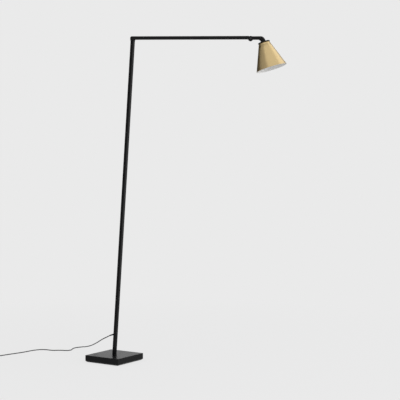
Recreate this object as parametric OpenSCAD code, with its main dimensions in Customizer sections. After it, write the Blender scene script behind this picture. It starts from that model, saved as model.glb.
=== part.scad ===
// Floor lamp: a leaning square pole on a slab base, a swinging arm and a tilting cone shade.
// Origin at the middle of the underside, +Z up, +X the way that the pole leans, millimetres.

/* [Base] */
// Side of the square slab
base_side = 190; // [150:1:260]
// Thickness of the slab
base_t = 31; // [26:0.5:45]
// Radius of the slab's upright corners
base_corner_r = 2.5; // [1:0.5:6]
// Bevel round the slab's lower edge
base_bevel = 5; // [0.5:0.5:8]
// Thickness of the pad under the slab
pad_t = 2; // [1.5:0.25:4]
// How far the pad stands below the slab
pad_proud = 1; // [0.5:0.25:1.25]
// Bare border round the pad
pad_border = 8; // [6:0.5:20]
// Diameter of the bolt that holds the pole's foot
foot_bolt_d = 8; // [5:0.5:8]

/* [Pole] */
// Side of the square pole
pole_w = 15; // [14:0.5:22]
// Wall of the pole
pole_wall = 1.5; // [1:0.1:1.75]
// Lean of the pole from upright, in degrees
lean = 4.24; // [0:0.1:8]
// Height of the pole's cut top above the floor
pole_top_z = 1475; // [900:1:1800]
// Length of the foot's spigot inside the pole
foot_spigot_l = 70; // [40:1:80]
// Height of the cord's way out above the floor
gland_z = 123; // [110:1:300]
// Drop of the strain relief below level, in degrees
gland_droop = 22; // [0:1:45]
// Length of the strain relief
gland_l = 24; // [20:1:60]

/* [Swivel] */
// Diameter of the round disc between the pole and the arm
disc_d = 23; // [20:0.5:32]
// Thickness of that disc
disc_t = 4; // [2:0.25:8]
// Diameter of the hollow stud that the arm turns on
stud_d = 8; // [7.5:0.1:8.4]
// Bore of the stud, for the cable
stud_bore = 5.2; // [4.8:0.1:5.6]
// Turn of the arm from the base's front, in degrees
arm_heading = 32; // [-150:1:150]

/* [Arm] */
// Side of the square arm
arm_w = 14; // [13.5:0.25:18]
// Wall of the arm
arm_wall = 1.5; // [1:0.1:1.75]
// Radius of the arm's rounded rear corner
arm_end_r = 8; // [2:0.5:9]
// How far the arm reaches back behind the stud
arm_back = 11.4; // [8:0.2:20]
// Distance from the stud to the hinge bolt
arm_reach = 538; // [250:1:800]

/* [Knuckle] */
// Diameter of the fork's round cheeks
knuckle_d = 22.4; // [20:0.2:30]
// Thickness of each cheek
cheek_t = 3.5; // [3:0.1:4]
// Diameter of the hinge bolt
hinge_bolt_d = 5; // [4:0.1:6]
// Thickness of each washer beside the tongue
hinge_washer_t = 0.45; // [0.3:0.05:0.8]

/* [Head] */
// Diameter of the bent neck
neck_d = 16; // [14:0.5:20]
// Height of the neck's axis above the hinge bolt
neck_rise = 2.7; // [0:0.1:4]
// Radius of the neck's bend at its middle
neck_bend_r = 13; // [12:0.5:20]
// Distance from the hinge bolt to the neck's corner
neck_run = 55; // [45:1:90]
// Length of the neck from its corner down to the cap
neck_drop = 18.4; // [16:0.1:40]
// Tilt of the shade from upright, in degrees
shade_tilt = 16.4; // [5:0.1:40]
// Diameter of the cap
cap_d = 54.4; // [51:0.2:70]
// Thickness of the cap
cap_t = 4.5; // [4:0.1:8]
// Diameter of the shade's top
shade_top_d = 50; // [46:0.5:54]
// Diameter of the shade's rim
shade_rim_d = 142; // [110:1:200]
// Height of the shade along its axis
shade_h = 121; // [80:1:200]
// Wall of the shade
shade_wall = 1.2; // [0.8:0.1:2]

/* [Light source] */
// Diameter of the heat sink's finned body
sink_d = 28; // [24:0.5:29]
// Length of the finned body
sink_l = 24; // [18:0.5:40]
// Number of fins
sink_fins = 5; // [3:1:7]
// Diameter of the light-emitting board
board_d = 30; // [22:0.5:31]
// Diameter of the diffuser
diffuser_d = 36; // [34:0.5:40]

/* [Mains lead] */
// Diameter of the lead outside the pole
cord_d = 4.5; // [4:0.1:4.6]
// Diameter of the lead inside the pole and the arm
flex_d = 4; // [3:0.1:4.2]
// Length of the foot switch
switch_l = 80; // [70:1:90]
// Width of the foot switch
switch_w = 36; // [34:0.5:38]
// Height of the foot switch's case
switch_h = 22; // [20:0.5:28]
// Diameter of the foot switch's button
button_d = 24; // [18:0.5:25]
// Travel of the button
button_travel = 2.5; // [1.5:0.1:3]
// Diameter of the plug's pins
pin_d = 4; // [4:0.1:4.8]
// Length of the plug's pins
pin_l = 19; // [17:0.5:20]
// Distance between the plug's pins
pin_gap = 19; // [18.6:0.1:19.4]

/* [Fits] */
// Radial clearance of a turning or sliding fit
run_gap = 0.03; // [0.02:0.01:0.08]
// Radial clearance of a fixed fit
slip_gap = 0.05; // [0.03:0.01:0.1]
// Clearance between parts that pass each other
pass_gap = 0.4; // [0.3:0.05:0.6]

/* [Hidden] */
$fn = 64;

black = "#1d1d1e";
brass = "#c5a876";
steel = "#a9abad";
rubber = "#2a2a2b";
white = "#ecebe6";

// A cut passes this far through a face.
through = 1;
// Larger than the whole lamp.
vast = 4000;

// Base: heights, and the bolt from below.
base_top = pad_proud + base_t;
pad_side = base_side - 2 * pad_border;
bolt_head_h = 5;
bolt_head_d = 1.625 * foot_bolt_d;
washer_t = 1.6;
washer_d = 2.4 * foot_bolt_d;
bolt_well_d = washer_d + 3;
bolt_well_top = pad_t + pass_gap + bolt_head_h + washer_t;
bolt_web = 4;
boss_bottom = bolt_well_top + bolt_web;
boss_d = pole_w - 2;
bolt_end = base_top - 2;

// Pole: its bore, its head and the swivel's stack upwards from the pole's top.
pole_corner_r = 1;
pole_bore = pole_w - 2 * pole_wall;
shank_w = pole_bore - 2 * slip_gap;
head_shank_l = 40;
grub_d = 4;
grub_places = [20, 50];
swivel_x = (pole_top_z - base_top) * tan(lean);
disc_top = pole_top_z + disc_t;
flange_t = 0.5;
arm_bottom = disc_top + flange_t;
arm_axis_z = arm_bottom + arm_w / 2;
arm_top = arm_bottom + arm_w;
bush_wall = 1;
bush_d = stud_d + 2 * run_gap + 2 * bush_wall;
bush_l = 4.5;
bush_flange_d = 14;
swivel_floor = arm_bottom + bush_l;
swivel_washer_t = 0.6;
circlip_t = 0.8;
circlip_z = swivel_floor + swivel_washer_t;
circlip_d = bush_d + 0.5;
groove_d = stud_d - 1.2;
stud_top = circlip_z + circlip_t + 0.6;
well_d = circlip_d + 0.6;
swivel_cap_t = 1.5;
swivel_cap_d = well_d + 0.8;

// Gland on the pole's rear face, in the leaning frame.
gland_up = (gland_z - base_top) / cos(lean);
gland_plug_d = 7;
gland_flange_d = 9.6;
gland_flange_t = 2;
gland_root_d = 7.6;
gland_tip_d = 5.6;
flex_bend_r = pole_bore / 2;

// Arm: the tube runs from the end block to the fork.
arm_corner_r = 1;
arm_bore = arm_w - 2 * arm_wall;
arm_shank_w = arm_bore - 2 * slip_gap;
arm_shank_l = 35;
block_front = 13;
arm_cable_bend = 4;
arm_cable_low = stud_top - 5;
arm_cable_z = stud_top - 1 + arm_cable_bend;

// Knuckle: the cheeks' top is level with the arm's top.
knuckle_r = knuckle_d / 2;
pivot_z = arm_top - knuckle_r;
slot_w = arm_w - 2 * cheek_t;
tongue_t = slot_w - 2 * hinge_washer_t - 0.1;
tongue_r = knuckle_r - 0.8;
fork_web_t = 4;
fork_clear = pass_gap + 0.4;
fork_web_x = -(knuckle_r + fork_clear);
fork_back = fork_web_x - fork_web_t;
arm_front = arm_reach + fork_back;
cheek_step = knuckle_r - 4;
bolt_sink = 2.2;
hinge_head_d = 1.8 * hinge_bolt_d;
hinge_sink_d = hinge_head_d + 2 * pass_gap;
hinge_nut_d = 1.8 * hinge_bolt_d;
hinge_washer_d = 3.2 * hinge_bolt_d;

// Head: the shade hangs on the bent neck's end.
neck_turn = 90 - shade_tilt;
neck_reach = neck_bend_r * tan(neck_turn / 2);
bend_step = 0.3;
collar_step = 1.5;
neck_lap = 1;
neck_z = pivot_z + neck_rise;
cap_x = arm_reach + neck_run + neck_drop * sin(shade_tilt);
cap_z = neck_z - neck_drop * cos(shade_tilt);
spigot_d = 10;
neck_nut_d = 17;
neck_nut_t = 5;
spigot_l = cap_t + neck_nut_t + 2;
cap_edge = 0.8;
shade_top_u = cap_t;
shade_rim_u = cap_t + shade_h;
shade_slope = (shade_rim_d - shade_top_d) / 2 / shade_h;
collar_r = 15;
sink_flange_t = 3;
sink_flange_d = 42;
sink_top_u = shade_top_u + shade_wall;
sink_body_u = sink_top_u + sink_flange_t;
sink_end_u = sink_body_u + sink_l;
sink_plate_t = 3;
sink_bore_d = neck_nut_d + 2;
sink_core_d = sink_bore_d + 3;
sink_core_u = spigot_l + 3;
fin_t = (sink_l - sink_plate_t) / (2 * sink_fins + 1);
fin_corners = [[sink_core_d / 2, 1], [sink_d / 2, 1], [sink_d / 2, 2], [sink_core_d / 2, 2]];
cap_screw_d = 3;
cap_screw_ring = 17.6;
cap_screw_head_d = 5.4;
cap_screw_head_h = 2;
cap_screw_bite = 3;
board_t = 1.6;
chip_d = 14;
chip_t = 1;
ring_wall = 2;
plate_d = diffuser_d - 4;
ring_d = diffuser_d + 2 * slip_gap + 2 * ring_wall;
ring_up = sink_end_u - sink_plate_t;
diffuser_t = 3;
diffuser_u = sink_end_u + board_t + chip_t + 3.4;
ring_end_u = diffuser_u + diffuser_t + 1.5;

// Lead: where the foot switch, the coil and the plug lie on the floor.
cord_r = cord_d / 2;
cord_sides = 8;
gland_end = [
    -(pole_w / 2 + gland_flange_t) - gland_l * cos(gland_droop),
    gland_up - gland_l * sin(gland_droop)
];
gland_tip = [
    gland_end[0] * cos(lean) + gland_end[1] * sin(lean),
    0,
    base_top - gland_end[0] * sin(lean) + gland_end[1] * cos(lean)
];
gland_fall = gland_droop - lean;
switch_at = [-532, -228];
sleeve_l = 22;
sleeve_root_d = 10;
sleeve_tip_d = 6.4;
sleeve_z = sleeve_root_d / 2;
switch_end_y = switch_at[1] - 2 * sleeve_l - switch_l;
turn_r = 25;
coil_turns = 5.5;
coil_mid_r = 27;
coil_step = cord_d + 0.8;
coil_rise = cord_d + 0.5;
tie_t = 0.9;
tie_gap = 0.3;
tie_w = 10;
coil_low_z = tie_t + tie_gap + cord_r;
coil_inner_r = coil_mid_r - coil_step * coil_turns / 4;
coil_outer_r = coil_inner_r + coil_step * coil_turns / 2;
coil_start = [switch_at[0] + 2 * turn_r, switch_end_y + 6];
coil_at = [coil_start[0] + coil_outer_r, coil_start[1]];
coil_rings = 24;
coil_sides = 6;
plug_z = coil_low_z + coil_rise;
plug_x = coil_at[0] + coil_outer_r;
plug_y = coil_at[1] - cord_d;

// The lead from the strain relief to the floor and across it to the foot switch.
cord_route = [
    [-46, 1, 107],
    [-80, 9, 92.5],
    [-130, 35, 70.5],
    [-205, 80, 43],
    [-282, 130, 22.5],
    [-328, 161, 13],
    [-347, 171, 9],
    [-365, 172, 6],
    [-376, 164, 4],
    [-379, 150, 3],
    [-372, 131, 2.3],
    [-360, 112, 2.3],
    [-360, 93, 2.3],
    [-370, 81, 2.3],
    [-391, 74, 2.3],
    [-408, 63, 2.3],
    [-424, 50, 2.3],
    [-444, 46, 2.3],
    [-467, 45, 2.3],
    [-491, 34, 2.3],
    [-505, 8, 2.3],
    [-510, -28, 2.3],
    [-512, -70, 2.3],
    [-519, -110, 2.3],
    [-527, -148, 2.3],
    [-532, -185, 2.6],
    [-532, -210, 3.6]
];
run_steps = 3;
tail_steps = 12;

// Points on a smooth curve through a list of points.
function spline(p, a, t) =
    let (
        q = p[max(a - 1, 0)],
        r = p[a],
        s = p[a + 1],
        u = p[min(a + 2, len(p) - 1)]
    )
    0.5 * (2 * r + (s - q) * t + (2 * q - 5 * r + 4 * s - u) * t * t + (3 * r - q - 3 * s + u) * t * t * t);
function smooth(p, steps) = [
    for (a = [0 : len(p) - 2], k = [0 : steps - 1]) spline(p, a, k / steps),
    p[len(p) - 1]
];
function unit(v) = v / norm(v);
function along(p, i) = unit(p[min(i + 1, len(p) - 1)] - p[max(i - 1, 0)]);
function ease(t) = let (c = max(0, min(1, t))) c * c * (3 - 2 * c);

// One ring of a tube, square to the way that it runs.
function ring(centre, way, r, sides) =
    let (
        side = unit(cross(way, [0, 0, 1])),
        up = cross(side, way)
    )
    [for (k = [0 : sides - 1]) centre + r * (cos(360 * (k + 0.5) / sides) * side + sin(360 * (k + 0.5) / sides) * up)];

// A tube along points. The first and last rings can be given their own way.
module tube(p, r, sides, first_way, last_way) {
    last = len(p) - 1;
    points = [
        for (i = [0 : last])
            each ring(p[i], i == 0 ? first_way : i == last ? last_way : along(p, i), r, sides)
    ];
    walls = [
        for (i = [0 : last - 1], k = [0 : sides - 1])
            let (a = i * sides + k, b = i * sides + (k + 1) % sides)
            each [[a, b, a + sides], [b, b + sides, a + sides]]
    ];
    ends = [
        for (k = [1 : sides - 2])
            each [[0, k + 1, k], [last * sides, last * sides + k, last * sides + k + 1]]
    ];
    polyhedron(points, concat(walls, ends));
}

function coil_point(t) =
    let (
        r = coil_inner_r + coil_step * abs(t - coil_turns / 2),
        turn = 180 - 360 * t,
        climb = ease(2 * (t - coil_turns / 2) + 0.5)
    )
    [coil_at[0] + r * cos(turn), coil_at[1] + r * sin(turn), coil_low_z + coil_rise * climb];
coil_path = [
    [coil_start[0], coil_start[1] - cord_d, coil_low_z],
    for (i = [0 : coil_turns * coil_rings]) coil_point(i / coil_rings),
    [plug_x, plug_y, plug_z]
];
coil_gap = min([
    for (i = [0 : len(coil_path) - 1], j = [i + coil_rings / 3 : len(coil_path) - 1])
        norm(coil_path[i] - coil_path[j])
]) - cord_d;
echo(coil_gap = coil_gap);
coil_length = norm([for (i = [1 : len(coil_path) - 1]) sqrt(norm(coil_path[i] - coil_path[i - 1]))]) ^ 2;
run_path = smooth(
    concat([gland_tip], cord_route, [[switch_at[0], switch_at[1], sleeve_z]]),
    run_steps
);
run_length = norm([for (i = [1 : len(run_path) - 1]) sqrt(norm(run_path[i] - run_path[i - 1]))]) ^ 2;
tail_path = concat(
    [
        for (i = [0 : tail_steps])
            let (a = 180 + 180 * i / tail_steps)
            [
                switch_at[0] + turn_r * (1 + cos(a)),
                switch_end_y + turn_r * sin(a),
                sleeve_z + (coil_low_z - sleeve_z) * ease(i / tail_steps)
            ]
    ],
    [[coil_start[0], coil_start[1] - cord_d, coil_low_z]]
);
tail_length = PI * turn_r;
echo(cord_length = run_length + 2 * sleeve_l + switch_l + tail_length + coil_length);

// Frames of the moving bodies.
module leaning() {
    translate([0, 0, base_top]) rotate([0, lean, 0]) children();
}

module on_arm() {
    translate([swivel_x, 0, 0]) rotate([0, 0, arm_heading]) children();
}

module on_pivot() {
    on_arm() translate([arm_reach, 0, pivot_z]) children();
}

module on_shade() {
    on_arm() translate([cap_x, 0, cap_z]) rotate([0, 180 - shade_tilt, 0]) children();
}

module on_switch() {
    translate([switch_at[0], switch_at[1] - sleeve_l, 0]) rotate([0, 0, -90]) children();
}

// A square with round corners.
module round_square(w, r) {
    round_oblong(w, w, r);
}

module round_oblong(l, w, r) {
    square([l, w - 2 * r], center = true);
    square([l - 2 * r, w], center = true);
    for (x = [-1, 1], y = [-1, 1]) translate([x * (l / 2 - r), y * (w / 2 - r)]) circle(r);
}

module level(d, l) {
    rotate([0, 90, 0]) cylinder(d = d, h = l);
}

module across(d, w) {
    rotate([90, 0, 0]) cylinder(d = d, h = w, center = true);
}

// Everything between two heights.
module between(low, high) {
    intersection() {
        children();
        translate([-vast / 2, -vast / 2, low]) cube([vast, vast, high - low]);
    }
}

module disc_at(low, high, d) {
    translate([0, 0, low]) cylinder(d = d, h = high - low);
}

// Base
module base_plate() {
    color(black) difference() {
        intersection() {
            translate([0, 0, pad_proud]) linear_extrude(base_t) round_square(base_side, base_corner_r);
            for_both_ways() slab_profile();
        }
        translate([0, 0, pad_proud - through]) linear_extrude(pad_t - pad_proud + through)
            round_square(pad_side + 2 * pass_gap, base_corner_r);
        disc_at(pad_proud, bolt_well_top, bolt_well_d);
        disc_at(pad_proud, base_top, foot_bolt_d + 2 * pass_gap);
        disc_at(boss_bottom, base_top + through, boss_d + 2 * slip_gap);
    }
}

module slab_profile() {
    half = base_side / 2;
    rotate([90, 0, 0]) linear_extrude(2 * base_side, center = true) polygon([
        [-half + base_bevel, pad_proud],
        [half - base_bevel, pad_proud],
        [half, pad_proud + base_bevel],
        [half, base_top],
        [-half, base_top],
        [-half, pad_proud + base_bevel]
    ]);
}

module for_both_ways() {
    intersection() {
        children();
        rotate([0, 0, 90]) children();
    }
}

module base_pad() {
    color(rubber) linear_extrude(pad_t) round_square(pad_side, base_corner_r);
}

module foot_spigot() {
    color(steel) difference() {
        union() {
            disc_at(boss_bottom, base_top, boss_d);
            between(base_top, vast) leaning() translate([0, 0, -pole_w])
                linear_extrude(foot_spigot_l + pole_w) square(shank_w, center = true);
        }
        disc_at(boss_bottom - through, bolt_end + through, foot_bolt_d + 2 * slip_gap);
    }
}

module foot_bolt() {
    color(steel) difference() {
        union() {
            disc_at(bolt_well_top - washer_t - bolt_head_h, bolt_well_top - washer_t, bolt_head_d);
            disc_at(bolt_well_top - washer_t, bolt_end, foot_bolt_d);
        }
        translate([0, 0, bolt_well_top - washer_t - bolt_head_h - through])
            cylinder(d = 0.85 * foot_bolt_d, h = bolt_head_h / 2 + through, $fn = 6);
    }
}

module foot_washer() {
    color(steel) difference() {
        disc_at(bolt_well_top - washer_t, bolt_well_top, washer_d);
        disc_at(0, base_top, foot_bolt_d + 2 * slip_gap);
    }
}

// Pole
module pole() {
    color(black) difference() {
        between(base_top, pole_top_z) leaning() translate([0, 0, -pole_w])
            linear_extrude(pole_top_z + pole_w) difference() {
                round_square(pole_w, pole_corner_r);
                square(pole_bore, center = true);
            }
        leaning() {
            for (up = grub_places) translate([-pole_w, 0, up]) level(grub_d + 2 * slip_gap, pole_w);
            translate([-pole_w, 0, gland_up]) level(gland_plug_d + 2 * slip_gap, pole_w);
        }
    }
}

module grub(l) {
    difference() {
        level(grub_d, l);
        translate([-through, 0, 0]) rotate([0, 90, 0]) cylinder(d = grub_d / 2, h = l / 2 + through, $fn = 6);
    }
}

module pole_grub_screws() {
    color(steel) leaning()
        for (up = grub_places) translate([-pole_w / 2, 0, up]) grub(pole_wall + slip_gap);
}

module cord_gland() {
    color(rubber) leaning() translate([0, 0, gland_up]) {
        translate([-pole_w / 2, 0, 0]) level(gland_plug_d, pole_wall);
        translate([-pole_w / 2 - gland_flange_t, 0, 0]) {
            level(gland_flange_d, gland_flange_t);
            intersection() {
                rotate([0, -90 - gland_droop, 0]) translate([0, 0, -gland_flange_d])
                    rotate_extrude() polygon([
                        [0, 0],
                        [gland_root_d / 2, 0],
                        [gland_root_d / 2, gland_flange_d],
                        [gland_tip_d / 2, gland_flange_d + gland_l],
                        [0, gland_flange_d + gland_l]
                    ]);
                translate([-vast, -vast / 2, -vast / 2]) cube([vast + gland_flange_t / 2, vast, vast]);
            }
        }
    }
}

module pole_cable() {
    top = (pole_top_z - base_top) / cos(lean) - head_shank_l;
    color(rubber) leaning() {
        translate([0, 0, gland_up + flex_bend_r]) cylinder(d = flex_d, h = top - gland_up - flex_bend_r);
        translate([-flex_bend_r, 0, gland_up + flex_bend_r]) rotate([90, 0, 0]) rotate([0, 0, -90])
            rotate_extrude(angle = 90) translate([flex_bend_r, 0]) circle(d = flex_d);
    }
}

module pole_head() {
    color(black) difference() {
        union() {
            between(0, pole_top_z) leaning()
                translate([0, 0, (pole_top_z - base_top) / cos(lean) - head_shank_l])
                linear_extrude(head_shank_l + pole_w) square(shank_w, center = true);
            translate([swivel_x, 0, 0]) {
                disc_at(pole_top_z, disc_top, disc_d);
                disc_at(pole_top_z, stud_top, stud_d);
            }
        }
        translate([swivel_x, 0, 0]) {
            disc_at(pole_top_z - head_shank_l - pole_w, stud_top + through, stud_bore);
            difference() {
                disc_at(circlip_z, circlip_z + circlip_t, stud_d + through);
                disc_at(circlip_z - through, circlip_z + circlip_t + through, groove_d);
            }
        }
    }
}

module swivel_circlip() {
    gap_w = groove_d - 1;
    color(steel) translate([swivel_x, 0, 0]) difference() {
        disc_at(circlip_z, circlip_z + circlip_t, circlip_d);
        disc_at(circlip_z - through, circlip_z + circlip_t + through, groove_d + 2 * slip_gap);
        translate([0, -gap_w / 2, circlip_z - through]) cube([circlip_d, gap_w, circlip_t + 2 * through]);
    }
}

// Arm
module arm_end_block() {
    color(black) on_arm() difference() {
        union() {
            rotate([90, 0, 0]) linear_extrude(arm_w, center = true) difference() {
                translate([-arm_back, arm_bottom]) square([arm_back + block_front, arm_w]);
                translate([-arm_back, arm_top - arm_end_r]) difference() {
                    translate([-through, 0]) square([arm_end_r + through, arm_end_r + through]);
                    translate([arm_end_r, 0]) circle(arm_end_r);
                }
            }
            translate([block_front, -arm_shank_w / 2, arm_axis_z - arm_shank_w / 2])
                cube([arm_shank_l, arm_shank_w, arm_shank_w]);
        }
        disc_at(arm_bottom - through, arm_top, bush_d + 2 * slip_gap);
        disc_at(swivel_floor, arm_top, well_d);
        disc_at(arm_top - swivel_cap_t, arm_top + through, swivel_cap_d + 2 * slip_gap);
        translate([0, 0, arm_cable_z]) level(flex_d + pass_gap, block_front + arm_shank_l + through);
    }
}

module swivel_bush() {
    low = disc_top + run_gap;
    color(brass) on_arm() difference() {
        union() {
            disc_at(low, arm_bottom, bush_flange_d);
            disc_at(low, swivel_floor, bush_d);
        }
        disc_at(low - through, swivel_floor + through, stud_d + 2 * run_gap);
    }
}

module swivel_washer() {
    color(steel) on_arm() difference() {
        disc_at(swivel_floor, circlip_z, circlip_d);
        disc_at(swivel_floor - through, circlip_z + through, stud_d + 2 * run_gap);
    }
}

module swivel_cap() {
    color(black) on_arm() disc_at(arm_top - swivel_cap_t, arm_top, swivel_cap_d);
}

module arm_tube() {
    color(black) on_arm() difference() {
        translate([block_front, 0, arm_axis_z]) rotate([90, 0, 90]) linear_extrude(arm_front - block_front)
            difference() {
                round_square(arm_w, arm_corner_r);
                square(arm_bore, center = true);
            }
        for (x = arm_grub_places()) translate([x, 0, arm_bottom - through]) cylinder(
            d = grub_d + 2 * slip_gap, h = arm_w / 2
        );
    }
}

function arm_grub_places() = [block_front + arm_shank_l / 2, arm_front - arm_shank_l / 2];

module arm_grub_screws() {
    color(steel) on_arm() for (x = arm_grub_places())
        translate([x, 0, arm_bottom]) rotate([0, -90, 0]) grub(arm_wall + slip_gap);
}

module arm_cable() {
    end = arm_front - arm_shank_l;
    color(rubber) on_arm() {
        disc_at(arm_cable_low, arm_cable_z - arm_cable_bend, flex_d);
        translate([arm_cable_bend, 0, arm_cable_z - arm_cable_bend]) rotate([90, 0, 0]) rotate([0, 0, 90])
            rotate_extrude(angle = 90) translate([arm_cable_bend, 0]) circle(d = flex_d);
        translate([arm_cable_bend, 0, arm_cable_z]) level(flex_d, end - arm_cable_bend);
    }
}

// Knuckle
module arm_fork() {
    low = arm_bottom - pivot_z;
    color(black) on_pivot() difference() {
        union() {
            rotate([90, 0, 0]) linear_extrude(arm_w, center = true) {
                circle(knuckle_r);
                translate([fork_back, low]) square([-fork_back - cheek_step, arm_w]);
            }
            translate([fork_back - arm_shank_l, -arm_shank_w / 2, low + (arm_w - arm_shank_w) / 2])
                cube([arm_shank_l, arm_shank_w, arm_shank_w]);
        }
        translate([fork_web_x, -slot_w / 2, -knuckle_d]) cube([2 * knuckle_d, slot_w, 2 * knuckle_d]);
        across(hinge_bolt_d + 2 * slip_gap, 2 * arm_w);
        for (side = [-1, 1]) translate([0, side * (arm_w / 2 + through - bolt_sink / 2), 0])
            across(hinge_sink_d, bolt_sink + 2 * through);
    }
}

module hinge_bolt() {
    color(steel) on_pivot() difference() {
        union() {
            translate([0, -arm_w / 2 + bolt_sink / 2, 0]) across(hinge_head_d, bolt_sink);
            across(hinge_bolt_d, arm_w);
        }
        translate([0, -arm_w / 2, 0]) rotate([90, 0, 0])
            cylinder(d = hinge_bolt_d * 0.7, h = bolt_sink, center = true, $fn = 6);
    }
}

module hinge_nut() {
    color(steel) on_pivot() translate([0, arm_w / 2 - bolt_sink / 2, 0]) difference() {
        rotate([90, 0, 0]) cylinder(d = hinge_nut_d, h = bolt_sink, center = true, $fn = 6);
        across(hinge_bolt_d + 2 * slip_gap, arm_w);
    }
}

module hinge_washers() {
    color(white) on_pivot() for (side = [-1, 1])
        translate([0, side * (slot_w - hinge_washer_t) / 2, 0]) difference() {
            across(hinge_washer_d, hinge_washer_t);
            across(hinge_bolt_d + 2 * slip_gap, arm_w);
        }
}

// Head
module neck_bend() {
    translate([neck_run - neck_reach, 0, neck_rise - neck_bend_r]) rotate([90, 0, 0])
        rotate([0, 0, 90 - neck_turn]) rotate_extrude(angle = neck_turn)
            translate([neck_bend_r, 0]) circle(d = neck_d + 2 * bend_step);
}

module head_elbow() {
    color(black) {
        on_pivot() difference() {
            union() {
                difference() {
                    union() {
                        translate([0, 0, neck_rise]) level(neck_d, neck_run - neck_reach + neck_lap);
                        neck_bend();
                    }
                    across(knuckle_d + 2 * pass_gap, 2 * neck_d);
                }
                rotate([90, 0, 0]) linear_extrude(tongue_t, center = true) {
                    circle(tongue_r);
                    translate([0, neck_rise - neck_d / 3]) square([knuckle_r + 6, 2 * neck_d / 3]);
                }
            }
            across(hinge_bolt_d + 2 * run_gap, 2 * neck_d);
        }
        on_shade() {
            disc_at(neck_reach - neck_drop - neck_lap, 0, neck_d + 2 * collar_step);
            disc_at(-through, spigot_l, spigot_d);
        }
    }
}

module neck_nut() {
    color(steel) on_shade() difference() {
        translate([0, 0, cap_t]) cylinder(d = neck_nut_d, h = neck_nut_t, $fn = 6);
        disc_at(0, spigot_l, spigot_d + 2 * slip_gap);
    }
}

module at_screws() {
    for (a = [0 : 120 : 240]) rotate([0, 0, a + 60]) translate([cap_screw_ring, 0, 0]) children();
}

module shade_cap() {
    color(black) on_shade() difference() {
        rotate_extrude() polygon([
            [spigot_d / 2 + slip_gap, 0],
            [cap_d / 2 - cap_edge, 0],
            [cap_d / 2, cap_edge],
            [cap_d / 2, cap_t],
            [spigot_d / 2 + slip_gap, cap_t]
        ]);
        at_screws() disc_at(cap_t - cap_screw_bite - slip_gap, cap_t + through, cap_screw_d + 2 * slip_gap);
    }
}

module shade() {
    top_r = shade_top_d / 2;
    rim_r = shade_rim_d / 2;
    color(brass) on_shade() difference() {
        rotate_extrude($fn = 128) polygon([
            [collar_r, shade_top_u],
            [top_r, shade_top_u],
            [rim_r, shade_rim_u],
            [rim_r - shade_wall, shade_rim_u],
            [top_r - shade_wall + shade_slope * shade_wall, sink_top_u],
            [collar_r, sink_top_u]
        ]);
        at_screws() disc_at(0, sink_body_u, cap_screw_d + 2 * slip_gap);
    }
}

module heat_sink() {
    color(steel) on_shade() difference() {
        rotate_extrude() polygon(concat(
            [
                [sink_bore_d / 2, sink_top_u],
                [sink_flange_d / 2, sink_top_u],
                [sink_flange_d / 2, sink_body_u],
                [sink_core_d / 2, sink_body_u]
            ],
            [for (k = [0 : sink_fins - 1], c = fin_corners) [c[0], sink_body_u + fin_t * (2 * k + c[1])]],
            [
                [sink_core_d / 2, sink_end_u - sink_plate_t],
                [plate_d / 2, sink_end_u - sink_plate_t],
                [plate_d / 2, sink_end_u],
                [0, sink_end_u],
                [0, sink_core_u],
                [sink_bore_d / 2, sink_core_u]
            ]
        ));
        at_screws() disc_at(0, sink_body_u + through, cap_screw_d + 2 * slip_gap);
    }
}

module cap_screws() {
    color(steel) on_shade() at_screws() {
        disc_at(cap_t - cap_screw_bite, sink_body_u, cap_screw_d);
        disc_at(sink_body_u, sink_body_u + cap_screw_head_h, cap_screw_head_d);
    }
}

module led_board() {
    color(white) on_shade() disc_at(sink_end_u, sink_end_u + board_t, board_d);
}

module led_chip() {
    color("#e8d27a") on_shade() disc_at(sink_end_u + board_t, sink_end_u + board_t + chip_t, chip_d);
}

module diffuser() {
    color("#f4f2ea") on_shade() disc_at(diffuser_u, diffuser_u + diffuser_t, diffuser_d);
}

module diffuser_ring() {
    color(white) on_shade() difference() {
        disc_at(ring_up, ring_end_u, ring_d);
        disc_at(ring_up - through, ring_end_u, plate_d + 2 * slip_gap);
        disc_at(diffuser_u, ring_end_u + through, diffuser_d + 2 * slip_gap);
    }
}

// Mains lead
module cord_run() {
    color(rubber) tube(
        run_path, cord_r, cord_sides,
        [-cos(gland_fall), 0, -sin(gland_fall)], [0, -1, 0]
    );
}

module cord_tail() {
    color(rubber) tube(tail_path, cord_r, cord_sides, [0, -1, 0], [0, 1, 0]);
}

module cord_coil() {
    color(rubber) tube(coil_path, cord_r, coil_sides, [0, 1, 0], [0, -1, 0]);
}

module coil_tie() {
    inner = coil_inner_r - cord_r - tie_gap;
    outer = coil_outer_r + cord_r + tie_gap;
    top = coil_low_z + coil_rise + cord_r + tie_gap;
    color(rubber) translate([coil_at[0], coil_at[1], 0]) rotate([90, 0, 90]) linear_extrude(tie_w, center = true)
        difference() {
            translate([inner - tie_t, 0]) square([outer - inner + 2 * tie_t, top + tie_t]);
            translate([inner, tie_t]) square([outer - inner, top - tie_t]);
        }
}

module sleeve() {
    translate([0, 0, sleeve_z]) rotate([0, -90, 0])
        cylinder(d1 = sleeve_root_d, d2 = sleeve_tip_d, h = sleeve_l);
}

module switch_sleeves() {
    color(rubber) on_switch() {
        sleeve();
        translate([switch_l, 0, 0]) mirror([1, 0, 0]) sleeve();
    }
}

// The case's outline from above, and its arched side, each drawn in by a wall.
case_split = 9;
case_wall = 2;
case_end_h = 12;
case_corner_r = 12;
arch_rise = switch_h - case_end_h;
arch_r = (switch_l * switch_l / 4 + arch_rise * arch_rise) / (2 * arch_rise);

module switch_case(inset) {
    intersection() {
        translate([switch_l / 2, 0, 0]) linear_extrude(switch_h)
            round_oblong(switch_l - 2 * inset, switch_w - 2 * inset, case_corner_r - inset);
        translate([switch_l / 2, 0, switch_h - arch_r]) across(2 * (arch_r - inset), switch_w);
    }
}

screw_places = [8, switch_l - 8];
screw_d = 3;
screw_post_d = 7;

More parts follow.
